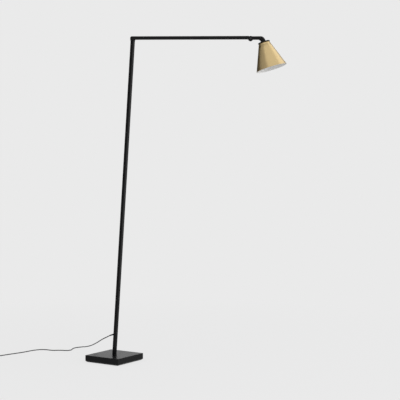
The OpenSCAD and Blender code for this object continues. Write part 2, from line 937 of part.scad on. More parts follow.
module switch_lower() {
    color(rubber) on_switch() difference() {
        between(0, case_split) switch_case(0);
        difference() {
            between(case_wall, case_split + through) switch_case(case_wall);
            for (x = screw_places) translate([x, 0, 0]) cylinder(d = screw_post_d, h = case_split);
        }
        for (x = screw_places) translate([x, 0, 0]) {
            disc_at(-through, case_split + through, screw_d + 2 * slip_gap);
            disc_at(-through, case_wall, 2 * screw_d + 2 * slip_gap);
        }
    }
}

module switch_upper() {
    color(rubber) on_switch() difference() {
        between(case_split, switch_h) switch_case(0);
        difference() {
            between(case_split - through, switch_h) switch_case(case_wall);
            for (x = screw_places) translate([x, 0, case_split - through]) cylinder(d = screw_post_d, h = switch_h);
        }
        for (x = screw_places) translate([x, 0, 0]) disc_at(0, case_end_h - case_wall, screw_d + 2 * slip_gap);
        translate([switch_l / 2, 0, 0]) disc_at(0, switch_h + through, button_d + pass_gap);
    }
}

module switch_screws() {
    color(steel) on_switch() for (x = screw_places) translate([x, 0, 0]) {
        disc_at(case_wall - 1.5, case_wall, 2 * screw_d);
        disc_at(case_wall, case_end_h - case_wall - slip_gap, screw_d);
    }
}

button_proud = button_travel + 1;
button_collar_t = 1.6;
button_collar_d = button_d + 3;
button_stop_z = switch_h - case_wall - 1.5;

module switch_button() {
    color(black) on_switch() translate([switch_l / 2, 0, 0]) {
        disc_at(button_stop_z - button_collar_t, button_stop_z, button_collar_d);
        translate([0, 0, button_stop_z]) rotate_extrude() polygon([
            [0, 0],
            [button_d / 2, 0],
            [button_d / 2, switch_h - button_stop_z + button_proud - 1],
            [button_d / 2 - 1, switch_h - button_stop_z + button_proud],
            [0, switch_h - button_stop_z + button_proud]
        ]);
    }
}

plug_w = 36;
plug_l = 34;
plug_relief_l = 30;
plug_root_d = 11;
plug_tip_d = 6.4;
pin_root_d = pin_d - 0.6;
plug_t = 2 * plug_z;

module on_plug() {
    translate([plug_x, plug_y, plug_z]) rotate([0, 0, -90]) children();
}

module plug_body() {
    color(rubber) on_plug() difference() {
        union() {
            rotate([0, 90, 0]) cylinder(d1 = plug_tip_d, d2 = plug_root_d, h = plug_relief_l);
            translate([plug_relief_l, 0, -plug_t / 2]) linear_extrude(plug_t) polygon([
                [0, -plug_root_d / 2],
                [plug_l / 2, -plug_w / 2],
                [plug_l, -plug_w / 2],
                [plug_l, plug_w / 2],
                [plug_l / 2, plug_w / 2],
                [0, plug_root_d / 2]
            ]);
        }
        for (y = [-1, 1]) translate([plug_relief_l + plug_l / 2, y * pin_gap / 2, 0])
            level(pin_root_d + 2 * slip_gap, plug_l);
    }
}

module plug_pins() {
    color(steel) on_plug() for (y = [-1, 1]) translate([plug_relief_l + plug_l / 2, y * pin_gap / 2, 0]) {
        level(pin_root_d, plug_l / 2 + through);
        translate([plug_l / 2, 0, 0]) level(pin_d, pin_l);
    }
}

base_plate();
base_pad();
foot_spigot();
foot_bolt();
foot_washer();
pole();
pole_grub_screws();
cord_gland();
pole_cable();
pole_head();
swivel_circlip();
arm_end_block();
swivel_bush();
swivel_washer();
swivel_cap();
arm_tube();
arm_grub_screws();
arm_cable();
arm_fork();
hinge_bolt();
hinge_nut();
hinge_washers();
head_elbow();
neck_nut();
shade_cap();
shade();
heat_sink();
cap_screws();
led_board();
led_chip();
diffuser();
diffuser_ring();
cord_run();
switch_sleeves();
switch_lower();
switch_upper();
switch_screws();
switch_button();
cord_tail();
cord_coil();
coil_tie();
plug_body();
plug_pins();
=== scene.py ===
"""Looks of a slim floor lamp: slab base, leaning pole, swinging arm and a tilting brass shade."""

import logging
import math
from collections.abc import Callable, Iterator, Sequence
from contextlib import contextmanager
from dataclasses import dataclass, field
from enum import Enum

import bmesh
import bpy
from mathutils import Matrix, Vector


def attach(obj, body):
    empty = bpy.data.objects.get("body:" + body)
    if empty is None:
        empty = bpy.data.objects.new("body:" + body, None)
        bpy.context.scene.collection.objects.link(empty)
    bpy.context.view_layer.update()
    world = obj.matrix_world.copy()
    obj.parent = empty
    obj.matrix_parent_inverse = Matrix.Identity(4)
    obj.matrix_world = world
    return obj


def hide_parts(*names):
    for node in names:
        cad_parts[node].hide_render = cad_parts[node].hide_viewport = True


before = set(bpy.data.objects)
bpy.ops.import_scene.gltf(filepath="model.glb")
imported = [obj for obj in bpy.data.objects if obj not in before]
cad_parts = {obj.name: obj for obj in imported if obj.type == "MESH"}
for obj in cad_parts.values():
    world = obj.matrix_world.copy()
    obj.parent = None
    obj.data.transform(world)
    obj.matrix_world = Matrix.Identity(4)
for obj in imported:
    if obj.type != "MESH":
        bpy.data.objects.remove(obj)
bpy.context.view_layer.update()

LOG = logging.getLogger("floor_lamp")
MM = 0.001
Point = tuple[float, float, float]
Outline = Sequence[tuple[float, float]]
Socket = bpy.types.NodeSocket
Piece = bpy.types.Object

# Distance in metres under which two points are one
DOUBLES = 1e-6
# The same for the loose corners of a CAD mesh
LOOSE = 1e-5
# Angle in degrees under which neighbouring faces look like one surface
SOFT_ANGLE = 35.0
# The same once a piece's edges are eased
EASED_ANGLE = 30.0
# How squarely a face has to point one way to be chosen
FACING = 0.9

# Patches to a metre in the shared effects
CLOUDS = 24.0
RUBS = 60.0
# Noise at which a rubbed place starts, less the finish's scuffs, and at which it is full
RUB_START = 0.8
RUB_FULL = 0.85
# How far tool lines wander round a piece, and how many streaks go to a line
SWAY = 0.35
STREAKS = 0.06


class Body(Enum):
    """The bodies that new pieces ride on."""

    STAND = "stand"
    HEAD = "head"
    BUTTON = "button"


class Slot(Enum):
    """The record's material slots, named with each new piece but not read."""

    METAL = "black_metal"
    BRASS = "satin_brass"
    RUBBER = "black_rubber"
    PLASTIC = "black_plastic"
    STEEL = "bare_steel"


class Choice(Enum):
    """What is chosen in edit mode."""

    FACES = "FACE"
    EDGES = "EDGE"


# Node trees


class Board:
    """A node tree with short ways to add nodes and join them."""

    def __init__(self, tree: bpy.types.NodeTree) -> None:
        """Takes the tree that the nodes go into."""
        self.tree = tree

    def add(self, kind: str, **sockets: object) -> bpy.types.Node:
        """Adds a node and sets its input sockets.

        Args:
            kind: The node's type, without the leading ShaderNode.
            **sockets: Values by socket name, with _ for a space. A socket of another node is linked.

        Returns:
            The new node.
        """
        node = self.tree.nodes.new(kind if kind.startswith("NodeGroup") else "ShaderNode" + kind)
        for name, value in sockets.items():
            self.put(node.inputs[name.replace("_", " ")], value)
        return node

    def put(self, socket: Socket, value: object) -> None:
        """Feeds an input.

        Args:
            socket: The input to feed.
            value: Another node's socket to link, or a constant to set.
        """
        if isinstance(value, Socket):
            self.tree.links.new(value, socket)
        else:
            socket.default_value = value

    def between(self, mask: Socket, low: Sequence[float], high: Sequence[float]) -> Socket:
        """Mixes two colours.

        Args:
            mask: The share of the second colour.
            low: The colour where the mask is 0.
            high: The colour where the mask is 1.

        Returns:
            The mixed colour's socket.
        """
        mix = self.tree.nodes.new("ShaderNodeMix")
        mix.data_type = "RGBA"
        # The node has sockets for each type of data, and these are the ones for colours
        share, first, second, result = mix.inputs[0], mix.inputs[6], mix.inputs[7], mix.outputs[2]
        self.put(share, mask)
        self.put(first, (*low, 1.0))
        self.put(second, (*high, 1.0))
        return result

    def spread(self, mask: Socket, low: float, high: float) -> Socket:
        """Stretches a mask of 0 to 1 over a range of values and returns the result's socket."""
        return self.add("MapRange", Value=mask, To_Min=low, To_Max=high).outputs[0]

    def sums(self, how: str, a: object, b: object) -> Socket:
        """Does one sum of two values.

        Args:
            how: The Math node's operation.
            a: The first value or socket.
            b: The second value or socket.

        Returns:
            The result's socket.
        """
        node = self.tree.nodes.new("ShaderNodeMath")
        node.operation = how
        self.put(node.inputs[0], a)
        self.put(node.inputs[1], b)
        return node.outputs[0]


class Canvas(Board):
    """A finish's board, with its Principled node and the Object coordinates."""

    def __init__(self, tree: bpy.types.NodeTree) -> None:
        """Adds the shader, its output and the coordinates.

        Args:
            tree: The material's empty node tree.
        """
        super().__init__(tree)
        self.shader = self.add("BsdfPrincipled")
        self.place = self.add("TexCoord").outputs["Object"]
        self.add("OutputMaterial", Surface=self.shader.outputs["BSDF"])

    def feed(self, name: str, value: object) -> None:
        """Feeds one of the shader's inputs."""
        self.put(self.shader.inputs[name], value)

    def bump(self, height: Socket, depth: float, strength: float) -> None:
        """Gives the shader a bumped normal of a depth in metres."""
        node = self.add("Bump", Strength=strength, Distance=depth, Height=height)
        self.feed("Normal", node.outputs["Normal"])


def emptied(holder: bpy.types.Material | bpy.types.World) -> bpy.types.NodeTree:
    """Gives a material or the world an empty node tree.

    Args:
        holder: The material or the world.

    Returns:
        The tree.
    """
    holder.use_nodes = True
    holder.node_tree.nodes.clear()
    return holder.node_tree


class Effect(Enum):
    """The surface effects that several finishes share."""

    GRAIN = "fine_grain"
    RINGS = "turned_rings"
    SCUFFS = "handling_scuffs"

    def group(self) -> bpy.types.NodeTree:
        """Returns the effect's node group, built on its first use."""
        makers = {Effect.GRAIN: fine_grain, Effect.RINGS: turned_rings, Effect.SCUFFS: handling_scuffs}
        return bpy.data.node_groups.get(self.value) or makers[self]()

    def on(self, board: Board, **sockets: object) -> bpy.types.Node:
        """Places the effect in a material.

        Args:
            board: The material's board.
            **sockets: Values or sockets by input name.

        Returns:
            The group's node.
        """
        node = board.tree.nodes.new("ShaderNodeGroup")
        node.node_tree = self.group()
        for name, value in sockets.items():
            board.put(node.inputs[name], value)
        return node


def new_group(
    name: str, inputs: dict[str, str], outputs: dict[str, str]
) -> tuple[Board, bpy.types.Node, bpy.types.Node]:
    """Starts a shader node group.

    Args:
        name: The group's name.
        inputs: Socket types by input name.
        outputs: Socket types by output name.

    Returns:
        The group's board, its input node and its output node.
    """
    tree = bpy.data.node_groups.new(name, "ShaderNodeTree")
    for side, sockets in (("INPUT", inputs), ("OUTPUT", outputs)):
        for label, kind in sockets.items():
            tree.interface.new_socket(name=label, in_out=side, socket_type="NodeSocket" + kind)
    board = Board(tree)
    return board, board.add("NodeGroupInput"), board.add("NodeGroupOutput")


def fine_grain() -> bpy.types.NodeTree:
    """Orange peel of a sprayed or moulded skin, with broad cloudy changes of tone.

    Returns:
        The effect's node group.
    """
    board, given, made = new_group(
        "fine_grain", {"Place": "Vector", "Fineness": "Float"}, {"Height": "Float", "Clouds": "Float"}
    )
    place, fineness = given.outputs["Place"], given.outputs["Fineness"]
    peel = board.add("TexNoise", Vector=place, Scale=fineness, Detail=2.0, Roughness=0.5)
    clouds = board.add("TexNoise", Vector=place, Scale=CLOUDS, Detail=4.0, Roughness=0.6)
    board.put(made.inputs["Height"], peel.outputs["Fac"])
    board.put(made.inputs["Clouds"], clouds.outputs["Fac"])
    return board.tree


def turned_rings() -> bpy.types.NodeTree:
    """Fine tool lines of a spun or turned surface, in rings about the Z axis of its place.

    Returns:
        The effect's node group.
    """
    board, given, made = new_group(
        "turned_rings", {"Place": "Vector", "Lines": "Float"}, {"Height": "Float", "Streaks": "Float"}
    )
    parts = board.add("SeparateXYZ", Vector=given.outputs["Place"])
    angle = board.sums("ARCTAN2", parts.outputs["Y"], parts.outputs["X"])
    along = board.sums("MULTIPLY", parts.outputs["Z"], given.outputs["Lines"])
    sway = board.sums("MULTIPLY", board.sums("SINE", angle, 0.0), SWAY)
    lines = board.add("CombineXYZ", X=sway, Y=along)
    fine = board.add("TexNoise", Vector=lines.outputs[0], Scale=1.0, Detail=3.0, Roughness=0.65)
    broad = board.add("TexNoise", Vector=lines.outputs[0], Scale=STREAKS, Detail=2.0, Roughness=0.5)
    board.put(made.inputs["Height"], fine.outputs["Fac"])
    board.put(made.inputs["Streaks"], broad.outputs["Fac"])
    return board.tree


def handling_scuffs() -> bpy.types.NodeTree:
    """Sparse rubbed places where hands and feet touch.

    Returns:
        The effect's node group.
    """
    board, given, made = new_group(
        "handling_scuffs", {"Place": "Vector", "Amount": "Float"}, {"Mask": "Float"}
    )
    patches = board.add("TexNoise", Vector=given.outputs["Place"], Scale=RUBS, Detail=6.0, Roughness=0.7)
    start = board.sums("SUBTRACT", RUB_START, given.outputs["Amount"])
    rise = board.add("MapRange", Value=patches.outputs["Fac"], From_Min=start, From_Max=RUB_FULL)
    board.put(made.inputs["Mask"], rise.outputs[0])
    return board.tree


# Finishes


class Finish:
    """A finish that makes its material once and hands it out."""

    name: str

    def material(self) -> bpy.types.Material:
        """Builds the finish's material on its first use.

        Returns:
            The material.
        """
        found = bpy.data.materials.get(self.name)
        if found is None:
            found = bpy.data.materials.new(self.name)
            self.wire(Canvas(emptied(found)))
        return found

    def wire(self, canvas: Canvas) -> None:
        """Feeds the shader, in each kind of finish."""
        raise NotImplementedError


@dataclass(frozen=True)
class Coat(Finish):
    """A sprayed or moulded skin: powder coat, rubber, plastic or lacquer."""

    name: str
    deep: Point
    raised: Point
    smooth: float
    rough: float
    fineness: float
    depth: float
    scuffs: float = 0.0
    specular: float = 0.5
    flecks: tuple[float, float] = (0.7, 1.3)
    rub: float = 0.12
    relief: float = 0.6

    def wire(self, canvas: Canvas) -> None:
        """Feeds the shader.

        Args:
            canvas: The finish's board.
        """
        grain = Effect.GRAIN.on(canvas, Place=canvas.place, Fineness=self.fineness)
        height, clouds = grain.outputs["Height"], grain.outputs["Clouds"]
        worn = Effect.SCUFFS.on(canvas, Place=canvas.place, Amount=self.scuffs)
        tone = canvas.sums("MULTIPLY", clouds, canvas.spread(height, *self.flecks))
        uneven = canvas.spread(clouds, self.smooth, self.rough)
        rubbed = canvas.spread(worn.outputs["Mask"], 0.0, self.rub)
        canvas.feed("Base Color", canvas.between(tone, self.deep, self.raised))
        canvas.feed("Roughness", canvas.sums("ADD", uneven, rubbed))
        canvas.feed("Specular IOR Level", self.specular)
        canvas.bump(height, self.depth, self.relief)


@dataclass(frozen=True)
class Turned(Finish):
    """A bare metal with ring-shaped tool lines about an axis."""

    name: str
    dull: Point
    bright: Point
    smooth: float
    rough: float
    lines: float
    centre: Point = (0.0, 0.0, 0.0)
    tilt: Point = (0.0, 0.0, 0.0)
    depth: float = 0.00001
    fineness: float = 900.0
    streaked: float = 0.6
    relief: float = 0.2

    def wire(self, canvas: Canvas) -> None:
        """Feeds the shader.

        Args:
            canvas: The finish's board.
        """
        stand = canvas.add("Mapping", Vector=canvas.place, Location=self.centre, Rotation=self.tilt)
        stand.vector_type = "TEXTURE"
        rings = Effect.RINGS.on(canvas, Place=stand.outputs[0], Lines=self.lines)
        grain = Effect.GRAIN.on(canvas, Place=canvas.place, Fineness=self.fineness)
        streaks = canvas.spread(rings.outputs["Streaks"], 0.0, self.streaked)
        clouds = canvas.spread(grain.outputs["Clouds"], 0.0, 1.0 - self.streaked)
        tone = canvas.sums("ADD", streaks, clouds)
        canvas.feed("Base Color", canvas.between(tone, self.dull, self.bright))
        canvas.feed("Roughness", canvas.spread(rings.outputs["Height"], self.smooth, self.rough))
        canvas.feed("Metallic", 1.0)
        canvas.bump(rings.outputs["Height"], self.depth, self.relief)


@dataclass(frozen=True)
class Woven(Finish):
    """Webbing whose threads cross over and under, across X and round the band, with painted shade in the
    dips.
    """

    name: str
    # deep is painted shade: the colour in the dips between threads; raised is the colour of the threads'
    # tops
    deep: Point
    raised: Point
    pitch: float
    depth: float
    smooth: float = 0.72
    rough: float = 0.92
    fineness: float = 2500.0
    specular: float = 0.25
    flecks: tuple[float, float] = (0.6, 1.2)
    relief: float = 0.8

    def wire(self, canvas: Canvas) -> None:
        """Feeds the shader.

        Args:
            canvas: The finish's board.
        """
        parts = canvas.add("SeparateXYZ", Vector=canvas.place)
        ways = parts.outputs["X"], canvas.sums("ADD", parts.outputs["Y"], parts.outputs["Z"])
        waves = (canvas.sums("MULTIPLY", way, math.pi / self.pitch) for way in ways)
        across, along = (canvas.sums("SINE", wave, 0.0) for wave in waves)
        weave = canvas.sums("MULTIPLY", across, along)
        threads = canvas.add("MapRange", Value=weave, From_Min=-1.0, From_Max=1.0).outputs[0]
        grain = Effect.GRAIN.on(canvas, Place=canvas.place, Fineness=self.fineness)
        # Painted shade: the colour darkens where the threads dip, from the thread height that also bumps
        # them; the grain adds random flecks
        tone = canvas.sums("MULTIPLY", threads, canvas.spread(grain.outputs["Height"], *self.flecks))
        canvas.feed("Base Color", canvas.between(tone, self.deep, self.raised))
        canvas.feed("Roughness", canvas.spread(tone, self.rough, self.smooth))
        canvas.feed("Specular IOR Level", self.specular)
        canvas.bump(threads, self.depth, self.relief)


@dataclass(frozen=True)
class Opal(Finish):
    """Frosted white plastic that lets light through."""

    name: str
    colour: Point
    shaded: float = 0.94
    smooth: float = 0.42
    rough: float = 0.55
    fineness: float = 3000.0
    milk: float = 0.25
    reach: float = 0.003
    depth: float = 0.00002
    relief: float = 0.4

    def wire(self, canvas: Canvas) -> None:
        """Feeds the shader.

        Args:
            canvas: The finish's board.
        """
        grain = Effect.GRAIN.on(canvas, Place=canvas.place, Fineness=self.fineness)
        shaded = [self.shaded * c for c in self.colour]
        canvas.feed("Base Color", canvas.between(grain.outputs["Clouds"], shaded, self.colour))
        canvas.feed("Roughness", canvas.spread(grain.outputs["Height"], self.smooth, self.rough))
        canvas.feed("Subsurface Weight", self.milk)
        canvas.feed("Subsurface Scale", self.reach)
        canvas.bump(grain.outputs["Height"], self.depth, self.relief)


# Work with Blender's operators


def deselect() -> None:
    """Leaves every object deselected, in object mode."""
    if bpy.context.mode != "OBJECT":
        bpy.ops.object.mode_set(mode="OBJECT")
    bpy.ops.object.select_all(action="DESELECT")


def pick(piece: Piece) -> None:
    """Selects one piece alone and makes it active.

    Args:
        piece: The object to select.
    """
    deselect()
    piece.select_set(True)
    bpy.context.view_layer.objects.active = piece


@contextmanager
def editing(piece: Piece) -> Iterator[None]:
    """Holds a piece in edit mode.

    Args:
        piece: The mesh object to work on.

    Returns:
        The context, in which the piece is open.
    """
    pick(piece)
    bpy.ops.object.mode_set(mode="EDIT")
    yield
    bpy.ops.object.mode_set(mode="OBJECT")


def choose(piece: Piece, choice: Choice, wanted: Callable[..., bool]) -> None:
    """Selects only the faces or edges that pass a test.

    Args:
        piece: The piece in edit mode.
        choice: What is chosen.
        wanted: The test of one face or edge.
    """
    bpy.ops.mesh.select_mode(type=choice.value)
    bpy.ops.mesh.select_all(action="DESELECT")
    mesh = bmesh.from_edit_mesh(piece.data)
    for item in mesh.faces if choice is Choice.FACES else mesh.edges:
        item.select_set(wanted(item))
    bmesh.update_edit_mesh(piece.data)


def shift(x: float, y: float, z: float) -> Matrix:
    """Returns a move given in millimetres."""
    return Matrix.Translation((x * MM, y * MM, z * MM))


def turn(degrees: float, axis: str) -> Matrix:
    """Returns a turn about an axis."""
    return Matrix.Rotation(math.radians(degrees), 4, axis)


def primitive(name: str, add: Callable[..., object], **values: object) -> Piece:
    """Adds a primitive, with nothing else selected.

    Args:
        name: The new piece's name.
        add: The operator that adds it.
        **values: What the operator takes.

    Returns:
        The new piece, with its place in its mesh.
    """
    deselect()
    add(**values)
    piece = bpy.context.object
    piece.name = name
    bpy.ops.object.transform_apply(location=True, rotation=True, scale=True)
    return piece


def extrude(x: float, y: float, z: float) -> None:
    """Extrudes what is selected, by a move given in millimetres."""
    bpy.ops.mesh.extrude_region_move(TRANSFORM_OT_translate={"value": (x * MM, y * MM, z * MM)})


def block(name: str, low: Point, high: Point) -> Piece:
    """Adds a box between two corners.

    Args:
        name: The new piece's name.
        low: Its lowest corner, in millimetres.
        high: Its highest corner, in millimetres.

    Returns:
        The box, with its place in its mesh.
    """
    middle = [(a + b) / 2 * MM for a, b in zip(low, high)]
    sides = [(b - a) * MM for a, b in zip(low, high)]
    return primitive(name, bpy.ops.mesh.primitive_cube_add, size=1, location=middle, scale=sides)


def lathe(name: str, outline: Outline, place: Matrix, steps: int) -> Piece:
    """Turns an outline about the Z axis of its place.

    Args:
        name: The new piece's name.
        outline: Points of radius and height, in millimetres, drawn from one end to the other.
        place: Where the outline's own frame lies.
        steps: Faces round the piece.

    Returns:
        The turned piece, with its place in its mesh.
    """
    piece = primitive(name, bpy.ops.mesh.primitive_plane_add)
    with editing(piece):
        bpy.ops.mesh.select_all(action="SELECT")
        bpy.ops.mesh.merge(type="CENTER")
        bpy.ops.mesh.select_mode(type="VERT")
        bpy.ops.mesh.select_all(action="SELECT")
        first, start = outline[0]
        bpy.ops.transform.translate(value=(first * MM, 0, start * MM))
        for (r, h), (next_r, next_h) in zip(outline, outline[1:]):
            extrude(next_r - r, 0, next_h - h)
        bpy.ops.mesh.select_all(action="SELECT")
        bpy.ops.mesh.spin(steps=steps, angle=2 * math.pi, center=(0, 0, 0), axis=(0, 0, 1))
        close_up()
    set_down(piece, place)
    return piece


def close_up() -> None:
    """Merges doubles in the mesh under edit and turns its faces outwards."""
    bpy.ops.mesh.select_all(action="SELECT")
    bpy.ops.mesh.remove_doubles(threshold=DOUBLES)
    bpy.ops.mesh.normals_make_consistent(inside=False)


def set_down(piece: Piece, place: Matrix) -> None:
    """Moves a piece to its place and keeps the place in its mesh.

    Args:
        piece: The piece to move.
        place: Where its own frame lies.
    """
    pick(piece)
    piece.matrix_world = place
    bpy.ops.object.transform_apply(location=True, rotation=True, scale=True)


def copies(piece: Piece, *places: Matrix) -> list[Piece]:
    """Sets a piece down at its first place, and copies with meshes of their own at the others.

    Args:
        piece: The piece, modelled in its own frame.
        *places: Where that frame lies for each.

    Returns:
        The piece and its copies.
    """
    made = [piece]
    for _ in places[1:]:
        pick(piece)
        bpy.ops.object.duplicate()
        made.append(bpy.context.object)
    for each, place in zip(made, places):
        set_down(each, place)
    return made


def shade_smooth(piece: Piece, angle: float = SOFT_ANGLE) -> None:
    """Smooths a piece, apart from edges over an angle in degrees."""
    pick(piece)
    bpy.ops.object.shade_smooth_by_angle(angle=math.radians(angle))


def fuse(name: str, *pieces: Piece) -> Piece:
    """Joins pieces into one object and smooths it.

    Args:
        name: The whole piece's name.
        *pieces: The pieces to join.

    Returns:
        The whole piece.
    """
    pick(pieces[0])
    for piece in pieces[1:]:
        piece.select_set(True)
    bpy.ops.object.join()
    whole = bpy.context.object
    whole.name = name
    shade_smooth(whole)
    return whole


def add_rounding(piece: Piece, width: float, segments: int, angle: float) -> str:
    """Puts a modifier on a piece that rounds its sharp edges.

    Args:
        piece: The piece to round.
        width: The rounding's width, in millimetres.
        segments: The faces across it.
        angle: The angle, in degrees, past which an edge is sharp.

    Returns:
        The modifier's name.
    """
    rounding = piece.modifiers.new("rounding", "BEVEL")
    rounding.width = width * MM
    rounding.segments = segments
    rounding.limit_method = "ANGLE"
    rounding.angle_limit = math.radians(angle)
    return rounding.name


def ease_edges(piece: Piece, width: float, segments: int, angle: float = SOFT_ANGLE) -> None:
    """Rounds a piece's sharp edges for good and smooths what is left.

    Args:
        piece: The piece to round.
        width: The rounding's width, in millimetres.
        segments: The faces across it.
        angle: The angle, in degrees, past which an edge is sharp.
    """
    pick(piece)
    bpy.ops.object.modifier_apply(modifier=add_rounding(piece, width, segments, angle))
    shade_smooth(piece, EASED_ANGLE)
    flat = piece.modifiers.new("flat", "WEIGHTED_NORMAL")
    flat.keep_sharp = True
    bpy.ops.object.modifier_apply(modifier=flat.name)


def dress(finish: Finish, *nodes: str) -> None:
    """Gives CAD nodes a finish.

    Args:
        finish: The finish.
        *nodes: The nodes' names.
    """
    for name in nodes:
        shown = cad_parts[name]
        shown.data.materials.clear()
        shown.data.materials.append(finish.material())
        LOG.info("%s wears %s", name, finish.name)


def soften(width: float, *nodes: str) -> None:
    """Rounds the sharp edges of CAD nodes with live modifiers, their meshes left as they are.

    Args:
        width: The rounding's width, in millimetres.
        *nodes: The nodes' names.
    """
    for name in nodes:
        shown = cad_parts[name]
        shown.modifiers.new("joined", "WELD").merge_threshold = LOOSE
        add_rounding(shown, width, segments=3, angle=40.0)


def settle(piece: Piece, body: Body, slot: Slot, finish: Finish, *nodes: str) -> Piece:
    """Finishes a new piece and ties it to the frame.

    Args:
        piece: The new piece, in its place.
        body: The body that it rides on.
        slot: The record's material slot that it belongs to. Not used.
        finish: Its finish, used where it has none yet.
        *nodes: The CAD nodes that it stands for.

    Returns:
        The same piece.
    """
    if not piece.data.materials:
        piece.data.materials.append(finish.material())
    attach(piece, body.value)
    if nodes:
        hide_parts(*nodes)
    LOG.info("%s rides %s and wears %s", piece.name, body.value, finish.name)
    return piece


# Finishes of this lamp

BLACK_COAT = Coat(
    "black_powder_coat", deep=(0.0028, 0.0028, 0.003), raised=(0.0055, 0.0055, 0.006), smooth=0.25,
    rough=0.31, fineness=2200.0, depth=0.000006, scuffs=0.1, specular=0.115,
)
BLACK_OXIDE = Coat(
    "black_oxide", deep=(0.01, 0.01, 0.011), raised=(0.026, 0.026, 0.028), smooth=0.3, rough=0.45,
    fineness=1500.0, depth=0.00001, scuffs=0.25, specular=0.3,
)
FLEX_SKIN = Coat(
    "flex_skin", deep=(0.018, 0.018, 0.02), raised=(0.032, 0.032, 0.034), smooth=0.5, rough=0.62,
    fineness=1600.0, depth=0.00002, specular=0.3,
)
MOULDED_RUBBER = Coat(
    "moulded_rubber", deep=(0.012, 0.012, 0.013), raised=(0.024, 0.024, 0.026), smooth=0.6, rough=0.75,
    fineness=1800.0, depth=0.00004, scuffs=0.2, specular=0.3,
)
GRAINED_PLASTIC = Coat(
    "grained_plastic", deep=(0.011, 0.011, 0.012), raised=(0.021, 0.021, 0.022), smooth=0.42, rough=0.55,
    fineness=1400.0, depth=0.00005, scuffs=0.2, specular=0.35,
)
# The strap's webbing is painted darker in the weave's dips: painted shade.
WOVEN_STRAP_PAINTED_SHADE = Woven(
    "woven_strap_painted_shade", deep=(0.006, 0.006, 0.007), raised=(0.04, 0.04, 0.043), pitch=0.0009, depth=0.00025
)
WHITE_LACQUER = Coat(
    "white_lacquer", deep=(0.7, 0.694, 0.678), raised=(0.76, 0.754, 0.737), smooth=0.35, rough=0.48,
    fineness=1600.0, depth=0.00002,
)
WHITE_NYLON = Coat(
    "white_nylon", deep=(0.68, 0.68, 0.65), raised=(0.8, 0.8, 0.77), smooth=0.5, rough=0.6,
    fineness=1500.0, depth=0.00002,
)
PHOSPHOR = Coat(
    "yellow_phosphor", deep=(0.75, 0.52, 0.05), raised=(0.88, 0.66, 0.12), smooth=0.4, rough=0.5,
    fineness=4000.0, depth=0.00002,
)
OPAL = Opal("frosted_opal", colour=(0.86, 0.855, 0.83))
PLATED = Turned(
    "plated_steel", dull=(0.42, 0.42, 0.43), bright=(0.6, 0.6, 0.61), smooth=0.25, rough=0.38, lines=4000.0
)


# Sub-assemblies


@dataclass(frozen=True)
class Ribbed:
    """A tapered strain relief with ring grooves. Sizes are in millimetres."""

    length: float
    root: float
    tip: float
    pitch: float
    groove: float
    groove_shape: Outline = ((0.0, 0.0), (0.12, 1.0), (0.38, 1.0), (0.5, 0.0))
    plain_end: float = 1.5
    rounded: float = 0.1

    def radius(self, h: float) -> float:
        """Returns the radius outside the grooves at a height above the root."""
        return self.root + (self.tip - self.root) * h / self.length

    def outline(self) -> list[tuple[float, float]]:
        """Draws the relief from the middle of its root to the middle of its tip.

        Returns:
            Points of radius and height, in millimetres.
        """
        points = [(0.0, 0.0), (self.root, 0.0)]
        count = int((self.length - self.plain_end * self.pitch) / self.pitch)
        for k in range(1, count + 1):
            for step, cut in self.groove_shape:
                h = (k + step) * self.pitch
                points.append((self.radius(h) - cut * self.groove, h))
        rounded = self.rounded * self.tip
        points += [(self.tip, self.length - rounded), (self.tip - rounded, self.length)]
        return [*points, (0.0, self.length)]


@dataclass(frozen=True)
class Flat:
    """An upright flat of one grey, which shows only in the metal's reflections. Sizes are in metres.

    The bearing is in degrees, seen from the shade, to the left of the camera's side.
    """

    name: str
    bearing: float
    width: float
    low: float
    high: float
    tone: float


@dataclass(frozen=True)
class Softbox:
    """A square soft light that hangs at one place and aims at another. Sizes are in metres."""

    name: str
    at: Point
    aim: Point
    size: float
    watts: float


